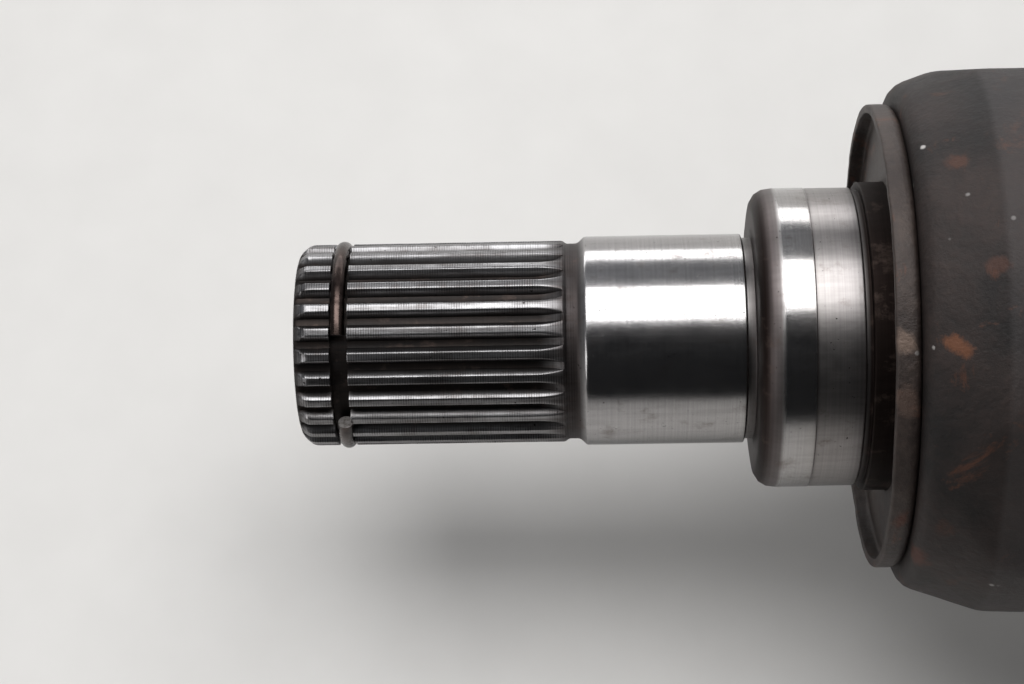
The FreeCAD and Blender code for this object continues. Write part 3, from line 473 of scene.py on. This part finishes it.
bearing_steel = steel_finish("hardened_bearing_steel", tint("#b9b8b6"), tint("#8f8a80"), 0.16, 5)
wheel_stub_steel = steel_finish("turned_and_rolled_steel", tint("#8d8b89"), tint("#4c4644"), 0.32, 5, 0.35)
boot_rubber = soft_finish("blow_moulded_elastomer", tint("#141414"), tint("#2b2927"), 0.55, 0.6, 0.06)
bush_plastic = soft_finish("moulded_nylon", tint("#1a1a1b"), tint("#2a2a2a"), 0.45, 0.4, 0.03)
bar_paint = soft_finish("black_dipped_paint", tint("#121213"), tint("#262321"), 0.36, 1.8, 0.05)


# Gearbox stub: 26-tooth spline, ring groove, journal and seal band

TOOTH_HEIGHT = 1.25
GAP_FLOOR = 0.45
FLANK = math.tan(math.radians(27))
CUTTER = 7
RUN_OUT = 3.99
PLACES_PER_TOOTH = 14
GEARBOX_TEETH, GEARBOX_MAJOR = 26, 13.5
GEARBOX_FIRST_GAP = math.radians(87.25)
WHEEL_TEETH, WHEEL_MAJOR = 27, 14
WHEEL_FIRST_GAP = TURN / 4
FINE_PITCH = 0.22


def toothed_place(teeth, major, full_to, way, first_gap):
    """Points set on the flanks, floors and lands of a spline, whose gaps run out where the cutter rises."""
    def place(index, along, radius):
        beyond = max(0, (along - full_to) * way)
        rise = CUTTER - math.sqrt(max(0, CUTTER ** 2 - beyond ** 2))
        depth = min(TOOTH_HEIGHT, max(0.02, TOOTH_HEIGHT - rise))
        half = math.pi * major / teeth
        top = GAP_FLOOR + depth * FLANK
        spots = (
            (0, depth),
            (GAP_FLOOR * 0.6, depth),
            (GAP_FLOOR * 1.05, depth * 0.97),
            ((GAP_FLOOR + top) / 2, depth * 0.5),
            (top - 0.03, min(0.07, depth * 0.3)),
            (top + 0.08, 0),
            ((top + half) / 2, 0),
            (half, 0),
        )
        tooth, spot = divmod(index, PLACES_PER_TOOTH)
        side = 1 if spot <= PLACES_PER_TOOTH // 2 else -1
        across, drop = spots[spot if side > 0 else PLACES_PER_TOOTH - spot]
        if side < 0:
            tooth += 1
        angle = first_gap + TURN * tooth / teeth + side * across / major
        on_teeth = (along - full_to) * way < RUN_OUT
        return along, min(radius, major - drop) if on_teeth else radius, angle
    return place


def gearbox_stub():
    """The stub's turned blank, with fine steps where the spline's gaps run out."""
    blank = softened([
        (-63.9, 0),
        (-68.5, 3.2, 0.3),
        (-68.5, 12.2, 0.9),
        (-67.1, 13.5, 0.7),
        (-63.65, 13.5, 0.1),
        (-63.65, 11.75),
        (-61.35, 11.75),
        (-61.35, 13.5, 0.1),
        (-37.3, 13.5),
        (-33.3, 13.5, 0.3),
        (-32.8, 13.1, 0.2),
        (-31.3, 13.1, 0.4),
        (-30.4, 14, 0.3),
        (-9.6, 14, 0.15),
        (-9.5, 13.45, 0.1),
        (-8.3, 13.45, 0.2),
        (-8.3, 20, 2.9),
        (-1.25, 20, 0.05),
        (-1.1, 19.93, 0.05),
        (5, 19.93, 0.25),
        (5, 19.5, 0.1),
        (5.9, 19.5, 0.1),
        (5.9, 20.6, 0.25),
        (11.5, 20.6),
        (11.5, 0),
    ])
    path = []
    for first, last in zip(blank, blank[1:]):
        pitch = FINE_PITCH if -37.5 < first[0] < -33.5 else 2.5
        path += divided([first, last], pitch)[:-1]
    path.append(blank[-1])
    place = toothed_place(GEARBOX_TEETH, GEARBOX_MAJOR, -37.1, 1, GEARBOX_FIRST_GAP)
    mesh = ringed(path, GEARBOX_TEETH * PLACES_PER_TOOTH, place)
    return finished("gearbox_stub", mesh, "gearbox_side", stub_steel, 40)


def smooth_least(first, second, soft):
    """The smaller of two radii, with the crossing rounded over the soft length."""
    share = max(0, min(1, 0.5 + (second - first) / (2 * soft)))
    return second * (1 - share) + first * share - soft * share * (1 - share)


FLATS = [math.radians(angle) for angle in (30, 150, 270)]
LOBES = [math.radians(angle) for angle in (90, 210, 330)]
HOUSING_TURNS = 360
FLAT_DISTANCE = 35.1
TRACK_PITCH = 20
TRACK_RADIUS = 17.45
TRACK_CEILING = 32.5


def forged_place(index, along, radius, wall):
    """The housing's outside with its three flats, or its inside with its three roller tracks."""
    angle = TURN * index / HOUSING_TURNS
    if wall == "outside":
        for flat in FLATS:
            facing = math.cos(angle - flat)
            if facing > 0.5:
                radius = smooth_least(radius, FLAT_DISTANCE / facing, 0.4)
        spot = Vector((along / 9, radius * math.cos(angle) / 9, radius * math.sin(angle) / 9))
        radius += 0.12 * noise.fractal(spot, 1.0, 2.0, 3)
    if wall == "inside":
        for lobe in LOBES:
            turn = (angle - lobe + math.pi) % TURN - math.pi
            side = abs(TRACK_PITCH * math.sin(turn))
            if abs(turn) < math.pi / 2 and side < TRACK_RADIUS:
                reach = TRACK_PITCH * math.cos(turn) + math.sqrt(TRACK_RADIUS ** 2 - side ** 2)
                radius = max(radius, min(TRACK_CEILING, reach))
    return along, radius, angle


def housing_forging():
    """The tripod housing behind the stub, with its three roller tracks inside."""
    outside = softened([
        (10.5, 0),
        (10.5, 33.2, 2.0),
        (20.8, 36.8, 0.8),
        (40, 37.5, 2.0),
        (80, 37.5, 0.5),
        (80, 36.8, 0.2),
        (95.2, 36.8, 0.3),
        (96, 36.0, 0.3),
        (96, 33.6),
    ])
    outside = [(*step, "outside") for step in divided(outside, 0.9)]
    inside = [(*step, "inside") for step in divided([(96, 27), (88, 22), (24, 22), (24, 0)], 4)]
    mesh = ringed(outside + inside, HOUSING_TURNS, forged_place)
    return finished("housing_forging", mesh, "gearbox_side", housing_scale, 50)


def shield_cup():
    """The dust shield, with the uneven rusted edge that a pressing gets."""
    wall = softened([
        (7.3, 29.75, 0.2),
        (7.3, 30.9, 0.35),
        (10.5, 30.9, 1.3),
        (10.5, 20.7),
        (9.3, 20.7),
        (9.3, 29.75, 0.5),
    ])
    turns = 256

    def place(index, along, radius):
        angle = TURN * index / turns
        ripple = noise.fractal(Vector((math.cos(angle) * 4, math.sin(angle) * 4, along / 3)), 1.0, 2.0, 3)
        edge = max(0, min(1, (9 - along) / 1.5))
        return along + 0.16 * edge * ripple, radius + min(0, 0.15 * ripple), angle

    mesh = ringed(divided(wall + wall[:1], 0.8), turns, place)
    return finished("shield_cup", mesh, "gearbox_side", shield_sheet, 45)


def stub_ring():
    """The round-wire ring, open at the front, with one end sprung a little out of line."""
    mesh = bmesh.new()
    wire, seat, place_along = 1.0 * MM, 12.9 * MM, -62.5 * MM
    bmesh.ops.create_circle(mesh, segments=20, radius=wire)
    start, sweep, steps = math.radians(164.5), math.radians(305), 180
    for point in mesh.verts:
        across, along = point.co.x, point.co.y
        reach = seat + across
        point.co = Vector((place_along + along, reach * math.cos(start), reach * math.sin(start)))
    bmesh.ops.spin(
        mesh, geom=list(mesh.verts) + list(mesh.edges), axis=(1, 0, 0), angle=sweep, steps=steps,
        dvec=(-0.25 * MM / steps, 0, 0),
    )
    for point in mesh.verts:
        turn = (math.atan2(point.co.z, point.co.y) - start) % TURN
        spring = max(0, 1 - turn / math.radians(30)) ** 2 if turn < sweep + 0.05 else 1
        outward = Vector((0, point.co.y, point.co.z)).normalized()
        point.co += outward * 0.45 * MM * spring + Vector((0.35 * MM * spring + 0.1 * MM, 0, 0))
    loose = [edge for edge in mesh.edges if edge.is_boundary]
    for face in bmesh.ops.edgeloop_fill(mesh, edges=loose)["faces"]:
        face.material_index = 1
    piece = finished("stub_ring", mesh, "gearbox_side", ring_wire, 45)
    piece.data.materials.append(cut_wire)
    return piece


# Clamps: one strip each, raised into a crimped ear

def clamp_strip_ring(name, body, node, place_along, width, inner, facing):
    """A band clamp whose ear, with a crimp's dimple in it, faces the given angle."""
    turns = 360
    thick = 0.9
    ear_rise = 4.1
    ear_half_width = 3.9
    wall = softened([
        (place_along - width / 2, inner, 0.2),
        (place_along - width / 2, inner + thick, 0.3),
        (place_along + width / 2, inner + thick, 0.3),
        (place_along + width / 2, inner, 0.2),
    ])

    def place(index, along, radius):
        angle = TURN * index / turns
        off = abs((angle - math.radians(facing) + math.pi) % TURN - math.pi) * inner
        rise = ear_rise * max(0, min(1, (ear_half_width - off) / 1.0))
        rise = rise * rise * (3 * ear_rise - 2 * rise) / ear_rise ** 2
        dimple = 0.9 * max(0, 1 - (off / 1.6) ** 2) * max(0, 1 - ((along - place_along) / (width * 0.3)) ** 2)
        lap = 0.12 * (1 if 5.5 < off < 16 else 0)
        return along, radius + rise - dimple + (lap if radius > inner + thick / 2 else 0), angle

    mesh = ringed(divided(wall + wall[:1], 1.0), turns, place)
    piece = finished(name, mesh, body, clamp_strip, 40)
    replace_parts(piece, node)
    return piece


# Boots: bellows cut into portions

BOOT_WALL = 2.0
BOOT_TURNS = 144


def fold_path(start, end, folds, crests, roots):
    """The folds' outside, from the large end to the small one."""
    corners = []
    for number in range(folds + 1):
        share = number / folds
        corners.append((start + (end - start) * share, roots[0] + (roots[1] - roots[0]) * share, 1.6))
        if number < folds:
            share = (number + 0.5) / folds
            corners.append((start + (end - start) * share, crests[0] + (crests[1] - crests[0]) * share, 2.0))
    return corners


def level_at(path, along):
    """The path's radius at a place along X."""
    for first, last in zip(path, path[1:]):
        low, high = sorted((first[0], last[0]))
        if low <= along <= high and high > low:
            return first[1] + (last[1] - first[1]) * (along - first[0]) / (last[0] - first[0])
    return path[-1][1]


def boot_rows(path, low, high):
    """The steps of the path between two places, with a step at each of them."""
    inner = [step for step in divided(path, 1.2) if low + 1e-4 < step[0] < high - 1e-4]
    return [(low, level_at(path, low))] + sorted(inner) + [(high, level_at(path, high))]


def boot_piece(name, path, low, high):
    """The closed wall of a boot between two places along X."""
    rows = boot_rows(path, low, high)
    lining = [(along, radius - BOOT_WALL) for along, radius in reversed(rows)]
    mesh = ringed(rows + lining + rows[:1], BOOT_TURNS, round_place(BOOT_TURNS))
    return finished(name, mesh, None, boot_rubber, 50)


def inner_bellows():
    """The boot in two portions: the land with the first fold, and the other folds with the neck."""
    folds = fold_path(99, 186, 5, (42, 26.5), (34, 19))
    land = [
        (81.6, 41.2, 0.4), (83.2, 42.0, 0.4), (83.7, 41.2, 0.2),
        (92.3, 41.2, 0.2), (92.9, 42.0, 0.4), (95.6, 41.6, 0.5),
    ]
    neck = [
        (190, 16.6, 0.8), (191.6, 16.9, 0.3), (192.2, 16.1, 0.2),
        (199.8, 16.1, 0.2), (200.4, 16.9, 0.3), (202, 16.6, 0.3),
    ]
    path = softened(land + folds + neck)
    first = boot_piece("inner_bellows_large_end", path, 81.8, 116.4)
    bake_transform(first)
    second = boot_piece("inner_bellows_folds", path, 116.4, 201.8)
    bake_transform(second)
    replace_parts(first, "inner_boot")
    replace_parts(second, "inner_boot")


def outer_bellows():
    """The boot in four portions, from the large end to the small end."""
    folds = fold_path(431, 353, 6, (43.5, 26), (34, 19))
    land = [
        (460.2, 44.7, 0.4), (457.4, 45.3, 0.4), (456.6, 44.7, 0.2),
        (447.4, 44.7, 0.2), (446.8, 45.3, 0.4), (440.8, 44.4, 0.8),
    ]
    neck = [
        (349, 16.6, 0.8), (347.4, 16.9, 0.3), (346.8, 16.1, 0.2),
        (339.2, 16.1, 0.2), (338.6, 16.9, 0.3), (337, 16.6, 0.3),
    ]
    path = list(reversed(softened(land + folds + neck)))
    portions = (
        ("outer_bellows_large_end", 418, 460, "bell_side_pivot", "wheel_side", 418, 440),
        ("outer_bellows_second_fold", 411.5, 418, "bell_side_pivot", "cage_set", 418, 411.5),
        ("outer_bellows_third_fold", 405, 411.5, "race_side_pivot", "cage_set", 405, 411.5),
        ("outer_bellows_small_end", 337.2, 405, "shaft", "race_side_pivot", 379, 405),
    )
    for name, low, high, near, far, start, end in portions:
        piece = boot_piece(name, path, low, high)
        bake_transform(piece)
        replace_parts(piece, "outer_boot")


# Axle bar, bell and wheel stub

def painted_bar():
    """The axle bar with its grooves, its inner neck and its two boot lands."""
    path = softened([
        (50.3, 0),
        (50.3, 9.8, 0.3),
        (51.1, 10.6, 0.2),
        (52.3, 10.6), (52.3, 9.6), (53.5, 9.6), (53.5, 10.6),
        (72.5, 10.6), (72.5, 9.6), (73.7, 9.6), (73.7, 10.6),
        (77.1, 10.6, 0.3),
        (77.9, 10.4, 0.3),
        (150, 10.4, 3),
        (159, 12.6, 3),
        (187, 12.6, 0.6),
        (188.5, 13.7, 0.4),
        (190, 13.7, 0.2),
        (190, 13.4),
        (202, 13.4),
        (202, 13.7, 0.2),
        (203.5, 13.7, 0.4),
        (205, 12.6, 0.6),
        (334, 12.6, 0.6),
        (335.5, 13.7, 0.4),
        (337, 13.7, 0.2),
        (337, 13.4),
        (349, 13.4),
        (349, 13.7, 0.2),
        (350.5, 13.7, 0.4),
        (352, 12.6, 0.6),
        (376, 12.6, 3),
        (385, 11, 3),
        (443.2, 11, 0.3),
        (444, 11.4, 0.2),
        (466, 11.4), (466, 10.4), (467.2, 10.4), (467.2, 11.4),
        (468.4, 11.4, 0.2),
        (469.2, 10.6, 0.2),
        (469.2, 0),
    ])
    turns = 96
    piece = finished("painted_bar", ringed(divided(path, 12), turns, round_place(turns)), "shaft", bar_paint, 30)
    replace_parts(piece, "axle_bar")


def bell_forging():
    """The bell keeps the tracks and the hollow of its solid, and gives up the stub behind its hub face."""
    mesh = bmesh.new()
    mesh.from_mesh(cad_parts["outer_bell"].data)
    bmesh.ops.remove_doubles(mesh, verts=mesh.verts, dist=1e-6)
    everything = list(mesh.verts) + list(mesh.edges) + list(mesh.faces)
    bmesh.ops.bisect_plane(
        mesh, geom=everything, dist=1e-7, plane_co=(497.05 * MM, 0, 0), plane_no=(1, 0, 0), clear_outer=True)
    bmesh.ops.holes_fill(mesh, edges=[edge for edge in mesh.edges if edge.is_boundary])
    piece = finished("bell_forging", mesh, "wheel_side", bell_scale, 32)
    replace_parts(piece, "outer_bell")


def wheel_stub():
    """The bell's stub with its spline, and the blank that the thread is rolled on."""
    blank = softened([
        (492, 0),
        (492, 15.2),
        (501.2, 15.2, 0.6),
        (502, 14, 0.2),
        (545.2, 14, 0.3),
        (546, 13.2, 0.2),
        (546, 10.9, 0.3),
        (549, 10.9, 0.2),
        (549.6, 11.15, 0.1),
        (569.9, 11.15, 0.2),
        (571, 10.3, 0.2),
        (571, 3.2, 0.3),
        (566.4, 0),
    ])
    path = []
    for first, last in zip(blank, blank[1:]):
        pitch = FINE_PITCH if first[0] > 502 and last[0] - first[0] > 20 and last[0] < 546 else 3
        path += divided([first, last], pitch)[:-1]
    path.append(blank[-1])
    place = toothed_place(WHEEL_TEETH, WHEEL_MAJOR, 507.6, -1, WHEEL_FIRST_GAP)
    mesh = ringed(path, WHEEL_TEETH * PLACES_PER_TOOTH, place)
    piece = finished("wheel_stub", mesh, "wheel_side", wheel_stub_steel, 40)
    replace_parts(piece, "outer_bell")


def nut_thread():
    """A helical ridge of 1.5 mm pitch, rolled on the stub's end and cut off by its chamfers."""
    pitch, turns_round, steps_round = 1.5, 14, 72
    mesh = bmesh.new()
    ridge = ((-0.72, 11.0), (-0.12, 12.0), (0.12, 12.0), (0.72, 11.0))
    points = [mesh.verts.new(Vector((549.2 + along, radius, 0)) * MM) for along, radius in ridge]
    for first, last in zip(points, points[1:] + points[:1]):
        mesh.edges.new((first, last))
    count = turns_round * steps_round
    bmesh.ops.spin(
        mesh, geom=list(mesh.verts) + list(mesh.edges), axis=(1, 0, 0), angle=TURN * turns_round, steps=count,
        dvec=(pitch * MM / steps_round, 0, 0),
    )
    for point in mesh.verts:
        radius = math.hypot(point.co.y, point.co.z)
        along = point.co.x / MM
        limit = min(12.0, 11.0 + max(0, along - 549.3), 10.35 + max(0, 570.9 - along)) * MM
        if radius > limit:
            point.co.y *= limit / radius
            point.co.z *= limit / radius
    bmesh.ops.edgeloop_fill(mesh, edges=[edge for edge in mesh.edges if edge.is_boundary])
    finished("nut_thread", mesh, "wheel_side", wheel_stub_steel, 30)


stub = gearbox_stub()
housing = housing_forging()
for shell in (stub, housing):
    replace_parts(shell, "inner_housing")
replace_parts(shield_cup(), "dust_shield")
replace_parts(stub_ring(), "stub_circlip")
clamp_strip_ring("inner_large_strip", "gearbox_side", "inner_boot_large_clamp", 88, 8, 41.25, -63)
clamp_strip_ring("outer_large_strip", "wheel_side", "outer_boot_large_clamp", 452, 8, 44.95, 243)
clamp_strip_ring("inner_small_strip", "shaft", "inner_boot_small_clamp", 196, 6.5, 16.2, 60)
clamp_strip_ring("outer_small_strip", "shaft", "outer_boot_small_clamp", 343, 6.5, 16.2, 60)
inner_bellows()
outer_bellows()
painted_bar()
bell_forging()
wheel_stub()
nut_thread()

NODE_FINISHES = {"trilobal_bushing": bush_plastic}
for node_name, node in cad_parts.items():
    node.data.materials.clear()
    node.data.materials.append(NODE_FINISHES.get(node_name, bearing_steel))


# Floor, lights and camera

def floor_and_light():
    mesh = bmesh.new()
    bmesh.ops.create_grid(mesh, x_segments=1, y_segments=1, size=3)
    bmesh.ops.translate(mesh, verts=mesh.verts, vec=(0, 0, cad_low.z - 0.0005))
    paint, tree, shader, place = new_material("pale_matt_floor")
    cloud = add(tree, "ShaderNodeTexNoise", {"Vector": scaled(tree, place, 60, 60), "Detail": 4.0}).outputs["Fac"]
    pale = mixed(tree, cloud, tint("#c9c7c4"), tint("#d2d0cd"))
    tree.links.new(pale, shader.inputs["Base Color"])
    shader.inputs["Roughness"].default_value = 0.7
    floor = finished("floor", mesh, None, paint)

    world = bpy.data.worlds.new("studio")
    bpy.context.scene.world = world
    world.use_nodes = True
    sky = world.node_tree
    facing = add(sky, "ShaderNodeSeparateXYZ", {"Vector": add(sky, "ShaderNodeTexCoord").outputs["Generated"]})
    rearward = add(sky, "ShaderNodeMapRange", {"Value": facing.outputs["Y"], "From Min": -1.0, "From Max": 1.0})
    pale = ramped(add(sky, "ShaderNodeValToRGB", {"Fac": rearward.outputs["Result"]}), [
        (0, tint("#3a3b3d")), (0.38, tint("#4c4d50")), (0.62, tint("#babdc3")), (1, tint("#d5d8de"))])
    sky.links.new(pale, sky.nodes["Background"].inputs["Color"])
    sky.nodes["Background"].inputs["Strength"].default_value = 0.45

    def soft_box(name, place, aim, size, power):
        lamp = bpy.data.lights.new(name, "AREA")
        lamp.shape = "RECTANGLE"
        lamp.size, lamp.size_y = size
        lamp.energy = power
        box = bpy.data.objects.new(name, lamp)
        bpy.context.scene.collection.objects.link(box)
        box.location = place
        box.rotation_euler = (Vector(aim) - Vector(place)).to_track_quat("-Z", "Y").to_euler()

    soft_box("overhead_softbox", (0.0, 0.20, 0.75), (0, 0, 0), (0.9, 0.55), 8)
    soft_box("side_softbox", (-0.7, -0.5, 0.45), (0, 0, 0), (0.5, 0.5), 2.2)
    soft_box("rear_softbox", (0.0, 1.7, 0.24), (0, 0, 0), (2.4, 0.5), 16)


SENSOR_WIDTH = 36
PHOTO_WIDTH = 1024
FOCAL_PIXELS = 2400


def photo_camera():
    """The camera's place and turn, fitted to the shaft's axis in the photograph."""
    distance, rise = 323 * MM, math.radians(65)
    place = Vector((-30.5 * MM, -distance * math.cos(rise), distance * math.sin(rise)))
    aim = Vector((-40.3 * MM, 0, 0))
    lens = bpy.data.cameras.new("photo_camera")
    lens.sensor_width = SENSOR_WIDTH
    lens.lens = SENSOR_WIDTH * FOCAL_PIXELS / PHOTO_WIDTH
    lens.clip_start = 0.01
    camera = bpy.data.objects.new("photo_camera", lens)
    bpy.context.scene.collection.objects.link(camera)
    camera.location = place
    back = (place - aim).normalized()
    level = (Vector((1, 0, 0)) - back * back.x).normalized()
    roll = math.radians(0.97)
    right = level * math.cos(roll) - back.cross(level) * math.sin(roll)
    camera.rotation_euler = Matrix((right, back.cross(right), back)).transposed().to_euler()
    bpy.context.scene.camera = camera


floor_and_light()
photo_camera()
bpy.context.scene.view_settings.view_transform = "Standard"
